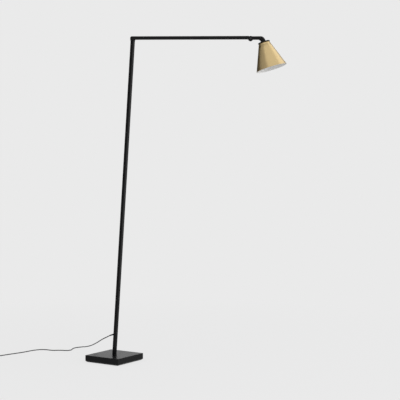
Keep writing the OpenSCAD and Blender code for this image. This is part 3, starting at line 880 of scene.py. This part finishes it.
@dataclass
class Studio:
    """The plain pale floor, the light and the camera at the photograph's view. Sizes are in metres."""

    eye: Point = (2.541, -3.188, 0.7464)
    look: Point = (-0.54417, 0.83896, 0.0)
    lens: float = 78.75
    sensor: float = 36.0
    paper: float = 0.823
    surround: Point = (0.5, 0.5, 0.51)
    floor_side: float = 60.0
    floor_z: float = -0.0005
    floor_white: float = 0.93
    shadow_near: float = 0.3
    shadow_far: float = 2.5
    shadow_share: float = 0.12
    shade_at: Point = (0.63, 0.33, 0.0)
    flat_off: float = 1.6
    flats: tuple[Flat, ...] = (
        Flat("white_flat", bearing=-122, width=3.6, low=0.0, high=6.0, tone=1.52),
        Flat("room_flat", bearing=-11, width=6.2, low=0.0, high=6.0, tone=1.06),
        Flat("grey_flat", bearing=83, width=1.95, low=0.0, high=6.0, tone=0.48),
        Flat("edge_flat", bearing=-157, width=1.33, low=1.2, high=4.0, tone=0.35),
        Flat("black_flat", bearing=141, width=2.3, low=1.2, high=4.0, tone=0.02),
        Flat("low_flat", bearing=180, width=2.8, low=0.85, high=1.4, tone=0.06),
    )
    lights: tuple[Softbox, ...] = (
        Softbox("key_light", at=(3.4, 0.9, 2.9), aim=(0.4, 0.2, 0.9), size=5.0, watts=90),
        Softbox("fill_light", at=(-0.2, -3.4, 2.4), aim=(0.3, 0.1, 0.8), size=4.0, watts=30),
    )

    def camera(self) -> None:
        """Sets the camera up, level and without shift."""
        data = bpy.data.cameras.new("camera")
        data.lens = self.lens
        data.sensor_width = self.sensor
        view = bpy.data.objects.new("camera", data)
        view.location = self.eye
        view.rotation_euler = Vector(self.look).to_track_quat("-Z", "Y").to_euler()
        bpy.context.scene.collection.objects.link(view)
        bpy.context.scene.camera = view

    def seen(self, board: Board) -> Socket:
        """Makes a mask of the rays that show the backdrop: straight, mirrored or through glass.

        Args:
            board: The material's or the world's board.

        Returns:
            The mask's socket.
        """
        path = board.add("LightPath")
        mirrored = board.sums("MAXIMUM", path.outputs["Is Glossy Ray"], path.outputs["Is Transmission Ray"])
        return board.sums("MAXIMUM", path.outputs["Is Camera Ray"], mirrored)

    def world(self) -> None:
        """Makes an even grey surround that shows as the pale paper."""
        world = bpy.data.worlds.new("surround")
        board = Board(emptied(world))
        tone = board.between(self.seen(board), self.surround, (self.paper,) * 3)
        board.add("OutputWorld", Surface=board.add("Background", Color=tone).outputs[0])
        bpy.context.scene.world = world

    def floor(self) -> None:
        """Lays the floor, which takes the lamp's shadow."""
        at = (0, 0, self.floor_z)
        floor = primitive("floor", bpy.ops.mesh.primitive_plane_add, size=self.floor_side, location=at)
        paper = bpy.data.materials.new("pale_paper")
        board = Board(emptied(paper))
        lit = board.add("BsdfDiffuse", Color=(*(self.floor_white,) * 3, 1))
        plain = board.add("Emission", Color=(*(self.paper,) * 3, 1))
        away = board.add("VectorMath")
        away.operation = "LENGTH"
        board.put(away.inputs[0], board.add("TexCoord").outputs["Object"])
        even = board.add("MapRange", Value=away.outputs["Value"], From_Min=self.shadow_near,
                         From_Max=self.shadow_far, To_Min=1.0 - self.shadow_share)
        share = board.sums("MULTIPLY", self.seen(board), even.outputs[0])
        mix = board.add("MixShader", Fac=share)
        board.put(mix.inputs[1], lit.outputs[0])
        board.put(mix.inputs[2], plain.outputs[0])
        board.add("OutputMaterial", Surface=mix.outputs[0])
        floor.data.materials.append(paper)

    def stand_flat(self, flat: Flat) -> None:
        """Stands one flat beside the lamp.

        Args:
            flat: What to stand there.
        """
        a = math.radians(flat.bearing)
        near = -Vector(self.look)
        left = Vector((-self.look[1], self.look[0], 0.0))
        way = math.cos(a) * near + math.sin(a) * left
        middle = Vector(self.shade_at) + self.flat_off * way + Vector((0, 0, (flat.low + flat.high) / 2))
        sides = (flat.width, flat.high - flat.low, 1)
        card = primitive(flat.name, bpy.ops.mesh.primitive_plane_add, size=1)
        set_down(card, Matrix.LocRotScale(middle, way.to_track_quat("-Z", "Y"), sides))
        card.visible_camera = card.visible_diffuse = card.visible_shadow = card.visible_transmission = False
        cloth = bpy.data.materials.new(flat.name + "_cloth")
        board = Board(emptied(cloth))
        grey = board.add("Emission", Color=(flat.tone, flat.tone, flat.tone, 1))
        board.add("OutputMaterial", Surface=grey.outputs[0])
        card.data.materials.append(cloth)

    def hang_light(self, light: Softbox) -> None:
        """Hangs one soft light.

        Args:
            light: What to hang there.
        """
        data = bpy.data.lights.new(light.name, "AREA")
        data.size = light.size
        data.energy = light.watts
        lamp = bpy.data.objects.new(light.name, data)
        lamp.visible_camera = lamp.visible_glossy = False
        lamp.location = light.at
        lamp.rotation_euler = (Vector(light.aim) - Vector(light.at)).to_track_quat("-Z", "Y").to_euler()
        bpy.context.scene.collection.objects.link(lamp)

    def build(self) -> None:
        """Sets up everything round the lamp."""
        bpy.context.scene.view_settings.view_transform = "Standard"
        self.camera()
        self.world()
        self.floor()
        for flat in self.flats:
            self.stand_flat(flat)
        for light in self.lights:
            self.hang_light(light)


@dataclass
class Plug:
    """The flat plug and its pins, along the X axis of its place. Sizes are in millimetres."""

    place: Matrix = field(default_factory=lambda: shift(-413.425, -350.5, 8.45) @ turn(-90, "Z"))
    half_w: float = 18.0
    half_t: float = 8.45
    front: float = 64.0
    shoulder: float = 47.0
    waist_l: float = 17.0
    waist_w_share: float = 12 / 36
    waist_t_share: float = 0.75
    rounding: float = 2.4
    relief: Ribbed = Ribbed(length=31.0, root=5.5, tip=3.2, pitch=3.6, groove=0.7)
    relief_x: float = 31.0
    relief_steps: int = 48
    grips: int = 4
    grip_x: float = 50.0
    grip_pitch: float = 3.2
    grip_l: float = 1.4
    grip_half_w: float = 11.0
    grip_half_t: float = 8.44
    grip_rounding: float = 0.5
    pin_off: float = 9.5
    pin_steps: int = 40
    pin: Outline = (
        (0, 60), (1.7, 60), (1.7, 74), (2.0, 74.05), (2.0, 81.4), (1.7, 82.5), (1.0, 82.95), (0, 83)
    )
    sleeve: Outline = ((1.72, 60), (1.95, 60), (1.95, 73.6), (1.85, 73.95), (1.72, 74), (1.72, 60))

    def moulded(self) -> Piece:
        """Moulds the body with its ribbed relief and finger grips.

        Returns:
            The body, in its place.
        """
        wide, thick = self.half_w, self.half_t
        body = block("plug_block", (self.shoulder, -wide, -thick), (self.front, wide, thick))
        with editing(body):
            choose(body, Choice.FACES, lambda face: face.normal.x < -FACING)
            extrude(-self.waist_l, 0, 0)
            bpy.ops.transform.resize(value=(1, self.waist_w_share, self.waist_t_share))
        ease_edges(body, self.rounding, segments=4)
        wide, thick = self.grip_half_w, self.grip_half_t
        rib = block("grip", (self.grip_x, -wide, -thick), (self.grip_x + self.grip_l, wide, thick))
        ease_edges(rib, self.grip_rounding, segments=3)
        ribs = copies(rib, *(shift(self.grip_pitch * k, 0, 0) for k in range(self.grips)))
        at = shift(self.relief_x, 0, 0) @ turn(-90, "Y")
        cone = lathe("plug_cone", self.relief.outline(), at, self.relief_steps)
        whole = fuse("moulded_plug", body, cone, *ribs)
        set_down(whole, self.place)
        return settle(whole, Body.STAND, Slot.RUBBER, MOULDED_RUBBER, "plug_body")

    def pair(self, name: str, outline: Outline) -> Piece:
        """Turns two like pieces, one for each pin.

        Args:
            name: The pair's name.
            outline: Points of radius and distance along the plug.

        Returns:
            The pair as one piece.
        """
        one = lathe(name, outline, turn(90, "Y"), self.pin_steps)
        places = (self.place @ shift(0, off, 0) for off in (-self.pin_off, self.pin_off))
        return fuse(name, *copies(one, *places))

    def build(self) -> list[Piece]:
        """Builds the plug.

        Returns:
            Its body, its pins and the pins' insulating sleeves.
        """
        body = self.moulded()
        pins = settle(self.pair("plug_pin_pair", self.pin), Body.STAND, Slot.STEEL, PLATED, "plug_pins")
        sleeves = settle(self.pair("pin_sleeves", self.sleeve), Body.STAND, Slot.PLASTIC, GRAINED_PLASTIC)
        return [body, pins, sleeves]


@dataclass
class FootSwitch:
    """The foot switch in the lead. Sizes are in millimetres."""

    place: Matrix = field(default_factory=lambda: shift(-532, -250, 0) @ turn(-90, "Z"))
    long: float = 80.0
    case_rounding: float = 0.8
    sleeve_up: float = 5.0
    relief: Ribbed = Ribbed(length=22.0, root=5.0, tip=3.2, pitch=3.0, groove=0.6)
    relief_steps: int = 48
    button_side: Outline = (
        (0, 16.9), (13.5, 16.9), (13.5, 18.5), (12, 18.5), (12, 24.3), (11.85, 24.95), (11.4, 25.35),
        (10.8, 25.5),
    )
    button_top: float = 25.5
    button_steps: int = 96
    grooves: tuple[float, ...] = (9.6, 7.4, 5.2, 3.0)
    groove: Outline = ((0.55, 0.0), (0.35, 0.45), (-0.35, 0.45), (-0.55, 0.0))

    def sleeves(self) -> list[Piece]:
        """Turns the ribbed sleeves where the flex goes in and out.

        Returns:
            The two sleeves.
        """
        one = lathe("sleeve_in", self.relief.outline(), Matrix(), self.relief_steps)
        shade_smooth(one)
        ends = ((0, -90), (self.long, 90))
        places = (self.place @ shift(x, 0, self.sleeve_up) @ turn(way, "Y") for x, way in ends)
        near, far = copies(one, *places)
        far.name = "sleeve_out"
        settle(near, Body.STAND, Slot.RUBBER, MOULDED_RUBBER, "switch_sleeves")
        return [near, settle(far, Body.STAND, Slot.RUBBER, MOULDED_RUBBER)]

    def button(self) -> Piece:
        """Turns the foot button with its collar and ring-shaped grip.

        Returns:
            The button.
        """
        top = self.button_top
        rings = [(r + out, top - deep) for r in self.grooves for out, deep in self.groove]
        outline = [*self.button_side, *rings, (0, top)]
        piece = lathe("foot_button", outline, self.place @ shift(self.long / 2, 0, 0), self.button_steps)
        shade_smooth(piece)
        return settle(piece, Body.BUTTON, Slot.PLASTIC, GRAINED_PLASTIC, "switch_button")

    def build(self) -> tuple[list[Piece], list[Piece]]:
        """Builds the switch's own pieces and dresses its case.

        Returns:
            What lies on the flex that comes in, and what lies on the flex that goes out.
        """
        dress(GRAINED_PLASTIC, "switch_lower", "switch_upper")
        soften(self.case_rounding, "switch_upper")
        case = [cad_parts[n] for n in ("switch_lower", "switch_upper", "switch_screws")]
        near, far = self.sleeves()
        return [near, self.button(), *case], [far]


@dataclass
class Lead:
    """The mains lead: strain relief, flex, foot switch, tied coil and plug. Sizes are in millimetres."""

    radius: float = 2.25
    flex_detail: int = 5
    base_top: float = 32.0
    lean: float = 4.24
    pole_half: float = 7.5
    gland_up: float = 91.25
    droop: float = 22.0
    flange: Outline = ((0, 0), (4.8, 0), (4.8, 1.4), (4.5, 1.85), (4.0, 2.0), (0, 2.0))
    flange_t: float = 2.0
    relief: Ribbed = Ribbed(length=24.0, root=3.8, tip=2.8, pitch=3.0, groove=0.45)
    relief_sunk: float = 1.4
    relief_steps: int = 48
    exit: Point = (-25.584, 0.0, 116.382)
    switch: Point = (-532.0, -228.0, 5.0)
    switch_end: float = -352.0
    turn_r: float = 25.0
    coil_at: tuple[float, float] = (-447.7125, -346.0)
    coil_turns: float = 5.5
    coil_steps: int = 96
    inner_r: float = 19.7125
    step: float = 5.3
    low_z: float = 3.45
    rise: float = 5.0
    strap_half: float = 5.0
    strap_y: tuple[float, float] = (16.27, 37.73)
    strap_z: tuple[float, float] = (0.01, 11.89)
    strap_corner: float = 2.8
    strap_t: float = 0.88
    strap_edge: float = 0.25
    route_steps: int = 6
    route: tuple[Point, ...] = (
        (-46, 1, 107), (-80, 9, 92.5), (-130, 35, 70.5), (-205, 80, 43), (-282, 130, 22.5), (-328, 161, 13),
        (-347, 171, 9), (-365, 172, 6), (-376, 164, 4), (-379, 150, 3), (-372, 131, 2.3), (-360, 112, 2.3),
        (-360, 93, 2.3), (-370, 81, 2.3), (-391, 74, 2.3), (-408, 63, 2.3), (-424, 50, 2.3), (-444, 46, 2.3),
        (-467, 45, 2.3), (-491, 34, 2.3), (-505, 8, 2.3), (-510, -28, 2.3), (-512, -70, 2.3),
        (-519, -110, 2.3), (-527, -148, 2.3), (-532, -185, 2.6), (-532, -210, 3.6),
    )

    @property
    def gland(self) -> Matrix:
        """The strain relief's own frame, on the pole's rear face."""
        return shift(0, 0, self.base_top) @ turn(self.lean, "Y") @ shift(-self.pole_half, 0, self.gland_up)

    def smooth(self, points: Sequence[Point], steps: int) -> list[Vector]:
        """Rounds a list of points into a smooth curve through them.

        Args:
            points: The points, in millimetres.
            steps: The steps from one point to the next.

        Returns:
            The curve's points, in metres.
        """
        p = [Vector(q) * MM for q in points]
        out: list[Vector] = []
        for i in range(len(p) - 1):
            before, a, b, after = p[max(i - 1, 0)], p[i], p[i + 1], p[min(i + 2, len(p) - 1)]
            for k in range(steps):
                t = k / steps
                out.append(0.5 * (2 * a + (b - before) * t + (2 * before - 5 * a + 4 * b - after) * t ** 2
                                  + (3 * a - before - 3 * b + after) * t ** 3))
        return [*out, p[-1]]

    def stored(self) -> list[Vector]:
        """Winds the tail's turn and the coil, from the foot switch to the plug.

        Returns:
            The run's points, in metres.
        """
        def ease(t: float) -> float:
            """Rises smoothly from 0 to 1 as t does, and stays level outside."""
            c = max(0.0, min(1.0, t))
            return c * c * (3 - 2 * c)

        points = []
        half = self.coil_steps // 2
        for i in range(half):
            a = math.pi * (1 + i / half)
            x = self.switch[0] + self.turn_r * (1 + math.cos(a))
            z = self.switch[2] + (self.low_z - self.switch[2]) * ease(i / half)
            points.append((x, self.switch_end + self.turn_r * math.sin(a), z))
        for i in range(round(self.coil_turns * self.coil_steps) + 1):
            t = i / self.coil_steps
            r = self.inner_r + self.step * abs(t - self.coil_turns / 2)
            a = math.pi * (1 - 2 * t)
            z = self.low_z + self.rise * ease(2 * (t - self.coil_turns / 2) + 0.5)
            points.append((self.coil_at[0] + r * math.cos(a), self.coil_at[1] + r * math.sin(a), z))
        points.append((points[-1][0], points[-1][1] - 2 * self.radius, points[-1][2]))
        return [Vector(p) * MM for p in points]

    def flex(self, name: str, points: Sequence[Vector]) -> Piece:
        """Lays one length of round flex.

        Args:
            name: The flex's name.
            points: The run that it follows, in metres.

        Returns:
            The flex.
        """
        data = bpy.data.curves.new(name, "CURVE")
        data.dimensions = "3D"
        line = data.splines.new("POLY")
        line.points.add(len(points) - 1)
        for dot, p in zip(line.points, points):
            dot.co = (*p, 1.0)
        line.use_smooth = True
        data.bevel_depth = self.radius * MM
        data.bevel_resolution = self.flex_detail
        data.use_fill_caps = True
        piece = bpy.data.objects.new(name, data)
        bpy.context.scene.collection.objects.link(piece)
        return piece

    def length(self, points: Sequence[Vector]) -> float:
        """Measures a run of points, in metres."""
        return sum((b - a).length for a, b in zip(points, points[1:]))

    def strain_relief(self) -> None:
        """Turns the ribbed rubber relief on the pole's rear face, with its flange."""
        flange = lathe("relief_flange", self.flange, self.gland @ turn(-90, "Y"), self.relief_steps)
        outline = [(0.0, -self.relief_sunk), *self.relief.outline()[1:]]
        at = self.gland @ shift(-self.flange_t, 0, 0) @ turn(-90 - self.droop, "Y")
        cone = lathe("relief_cone", outline, at, self.relief_steps)
        settle(fuse("strain_relief", flange, cone), Body.STAND, Slot.RUBBER, MOULDED_RUBBER, "cord_gland")

    def strap(self) -> Piece:
        """Wraps the woven tie round the coil's far side.

        Returns:
            The tie.
        """
        (x, y), half = self.coil_at, self.strap_half
        (near, far), (low, high) = self.strap_y, self.strap_z
        band = block("coil_strap", (x - half, y + near, low), (x + half, y + far, high))
        with editing(band):
            choose(band, Choice.EDGES, lambda edge: abs((edge.verts[0].co - edge.verts[1].co).x) > half * MM)
            bpy.ops.mesh.bevel(offset=self.strap_corner * MM, segments=5, affect="EDGES")
            choose(band, Choice.FACES, lambda face: abs(face.normal.x) > FACING)
            bpy.ops.mesh.delete(type="ONLY_FACE")
        pick(band)
        cloth = band.modifiers.new("cloth", "SOLIDIFY")
        cloth.thickness = self.strap_t * MM
        cloth.offset = -1.0
        bpy.ops.object.modifier_apply(modifier=cloth.name)
        ease_edges(band, self.strap_edge, segments=2, angle=50.0)
        return settle(band, Body.STAND, Slot.RUBBER, WOVEN_STRAP_PAINTED_SHADE, "coil_tie")

    def build(self) -> None:
        run = self.smooth((self.exit, *self.route, self.switch), self.route_steps)
        flex = self.flex("lead_flex", run)
        settle(flex, Body.STAND, Slot.RUBBER, FLEX_SKIN, "cord_run")
        tail = self.stored()
        coil = self.flex("coiled_flex", tail)
        settle(coil, Body.STAND, Slot.RUBBER, FLEX_SKIN, "cord_tail", "cord_coil")
        self.strain_relief()
        near, far = FootSwitch().build()
        far += [*Plug().build(), self.strap()]
        self.length(run)
        self.length(tail)


@dataclass
class Stand:
    """The slab base and the leaning pole. Sizes are in millimetres."""

    half: float = 95.0
    low: float = 1.0
    top: float = 32.0
    bevel: float = 5.0
    rounding: float = 1.1

    def slab(self) -> None:
        """Cuts the base slab, drawn in along its lower edges."""
        half = self.half
        slab = block("base_slab", (-half, -half, self.low + self.bevel), (half, half, self.top))
        with editing(slab):
            choose(slab, Choice.FACES, lambda face: face.normal.z < -FACING)
            extrude(0, 0, -self.bevel)
            drawn = (half - self.bevel) / half
            bpy.ops.transform.resize(value=(drawn, drawn, 1))
        ease_edges(slab, self.rounding, segments=4)
        settle(slab, Body.STAND, Slot.METAL, BLACK_COAT, "base_plate")

    def build(self) -> None:
        """Builds the base and dresses the pole."""
        self.slab()
        dress(BLACK_COAT, "pole", "pole_head")
        dress(MOULDED_RUBBER, "base_pad")
        dress(FLEX_SKIN, "pole_cable")
        dress(BLACK_OXIDE, "pole_grub_screws")
        dress(PLATED, "foot_bolt", "foot_washer", "foot_spigot", "swivel_circlip", "switch_screws")


@dataclass
class Head:
    """The arm, the hinge, the neck, the shade and the light source. Sizes are in millimetres."""

    swivel_x: float = 106.98
    swing: float = 32.0
    hinge_x: float = 538.0
    hinge_z: float = 1482.3
    neck_run: float = 55.0
    neck_rise: float = 2.7
    neck_drop: float = 18.4
    tilt: float = 16.4
    web_r: float = 7.85
    web_bend: float = 24.0
    web_start: float = 26.0
    web_shift: float = 5.0
    web_lap: float = 0.3
    web_steps: int = 48
    bend_steps: int = 24
    rounding: float = 0.4
    top_r: float = 25.0
    rim_r: float = 71.0
    top_u: float = 4.5
    rim_u: float = 125.5
    wall: float = 1.2
    collar_r: float = 9.0
    shoulder: Outline = ((-0.5, 0.0), (-0.1, 0.15))
    shoulder_l: float = 0.6
    bead_u: float = 13.0
    bead: Outline = ((0.0, -0.6), (-0.3, -0.3), (-0.3, 0.3), (0.0, 0.6))
    rings: tuple[float, ...] = (30.0, 60.0, 90.0)
    hem_l: float = 1.0
    hem: Outline = ((0.0, -0.3), (-0.15, 0.0), (-0.6, 0.15), (-1.2, 0.0), (-1.55, -0.6))
    lining_start: float = 2.0
    lining_end: float = 1.9
    lining_corner: float = 2.2
    white_from: float = 0.5
    shade_steps: int = 160
    shade_angle: float = 40.0

    @property
    def arm(self) -> Matrix:
        """The arm's own frame: X runs along the arm from the swivel."""
        return shift(self.swivel_x, 0, 0) @ turn(self.swing, "Z")

    @property
    def place(self) -> Matrix:
        """The shade's own frame: its axis runs from the cap's top down through the rim.

        Returns:
            The frame.
        """
        a = math.radians(self.tilt)
        out = self.hinge_x + self.neck_run + self.neck_drop * math.sin(a)
        up = self.hinge_z + self.neck_rise - self.neck_drop * math.cos(a)
        return self.arm @ shift(out, 0, up) @ turn(180 - self.tilt, "Y")

    def neck_web(self) -> None:
        """Sweeps the round web that fills out the inside of the neck's bend."""
        tilt, angle = math.radians(self.tilt), math.radians(90 - self.tilt)
        reach = self.web_bend * math.tan(angle / 2)
        bend_x = self.neck_run - self.web_shift - reach
        bend_z = self.neck_rise - self.web_bend
        foot = self.neck_drop - reach + self.web_shift * math.sin(tilt) + self.web_lap
        start = (self.web_start * MM, 0, self.neck_rise * MM)
        web = primitive(
            "neck_web", bpy.ops.mesh.primitive_circle_add, vertices=self.web_steps, radius=self.web_r * MM,
            fill_type="NGON", rotation=(0, math.pi / 2, 0), location=start,
        )
        with editing(web):
            bpy.ops.mesh.select_all(action="SELECT")
            extrude(bend_x - self.web_start, 0, 0)
            bpy.ops.mesh.spin(
                steps=self.bend_steps, angle=angle, axis=(0, -1, 0), center=(bend_x * MM, 0, bend_z * MM)
            )
            extrude(foot * math.sin(tilt), 0, -foot * math.cos(tilt))
            close_up()
        set_down(web, self.arm @ shift(self.hinge_x, 0, self.hinge_z))
        shade_smooth(web)
        settle(web, Body.HEAD, Slot.METAL, BLACK_COAT)

    def outside(self, u: float) -> float:
        """Returns the shade's outer radius at a distance from the cap's top."""
        return self.top_r + (self.rim_r - self.top_r) * (u - self.top_u) / (self.rim_u - self.top_u)

    def shade_outline(self) -> list[tuple[float, float]]:
        """Draws the shade's wall: down the outside, round the hem and up the inside.

        Returns:
            Points of radius and distance from the cap's top, in millimetres.
        """
        top, rim, wall = self.top_u, self.rim_u, self.wall
        shoulder = top + self.shoulder_l
        bead = [(dr, self.bead_u + du) for dr, du in self.bead]
        inner = (rim - self.lining_start, *reversed(self.rings), top + self.lining_end)
        return [
            (self.collar_r, top),
            *((self.top_r + dr, top + du) for dr, du in self.shoulder),
            (self.outside(shoulder), shoulder),
            *((self.outside(u) + dr, u) for dr, u in bead),
            *((self.outside(u), u) for u in (*self.rings, rim - self.hem_l)),
            *((self.rim_r + dr, rim + du) for dr, du in self.hem),
            *((self.outside(u) - wall, u) for u in inner),
            (self.outside(top) - self.lining_corner, top + wall),
            (self.collar_r, top + wall),
            (self.collar_r, top),
        ]

    def spun_shade(self, brass: Finish) -> None:
        """Spins the shade with a hemmed rim, brass outside and white inside.

        Args:
            brass: The finish of its outside.
        """
        shade = lathe("spun_shade", self.shade_outline(), self.place, self.shade_steps)
        shade.data.materials.append(brass.material())
        shade.data.materials.append(WHITE_LACQUER.material())
        back = self.place.inverted()
        for face in shade.data.polygons:
            at = back @ face.center / MM
            if at.xy.length < self.outside(at.z) - self.wall / 2 and at.z > self.top_u + self.white_from:
                face.material_index = 1
        shade_smooth(shade, self.shade_angle)
        settle(shade, Body.HEAD, Slot.BRASS, brass, "shade")

    def build(self) -> None:
        """Builds the shade and dresses the arm and the head."""
        centre, tilt = tuple(self.place.to_translation()), tuple(self.place.to_euler())
        brass = Turned(
            "satin_brass", dull=(0.86, 0.7, 0.43), bright=(0.92, 0.76, 0.49), smooth=0.18, rough=0.21,
            lines=3200.0, centre=centre, tilt=tilt, depth=0.000002,
        )
        bare = Turned(
            "turned_aluminium", dull=(0.5, 0.5, 0.5), bright=(0.68, 0.68, 0.69), smooth=0.3, rough=0.42,
            lines=2500.0, centre=centre, tilt=tilt,
        )
        bronze = Turned(
            "bearing_bronze", dull=(0.3, 0.18, 0.07), bright=(0.45, 0.28, 0.12), smooth=0.35, rough=0.5,
            lines=3000.0, centre=(self.swivel_x * MM, 0, 0),
        )
        self.spun_shade(brass)
        self.neck_web()
        dress(BLACK_COAT, "arm_end_block", "swivel_cap", "arm_tube", "arm_fork", "head_elbow", "shade_cap")
        soften(self.rounding, "arm_fork", "shade_cap")
        dress(BLACK_OXIDE, "hinge_bolt", "hinge_nut", "arm_grub_screws")
        dress(WHITE_NYLON, "hinge_washers", "led_board", "diffuser_ring")
        dress(bare, "heat_sink")
        dress(PLATED, "swivel_washer", "neck_nut", "cap_screws")
        dress(bronze, "swivel_bush")
        dress(FLEX_SKIN, "arm_cable")
        dress(PHOSPHOR, "led_chip")
        dress(OPAL, "diffuser")


def main() -> None:
    """Builds the studio and the lamp."""
    logging.basicConfig(level=logging.INFO, format="%(name)s: %(message)s")
    for part in (Studio(), Lead(), Stand(), Head()):
        part.build()
        LOG.info("%s is built", type(part).__name__)


if __name__ == "__main__":
    main()
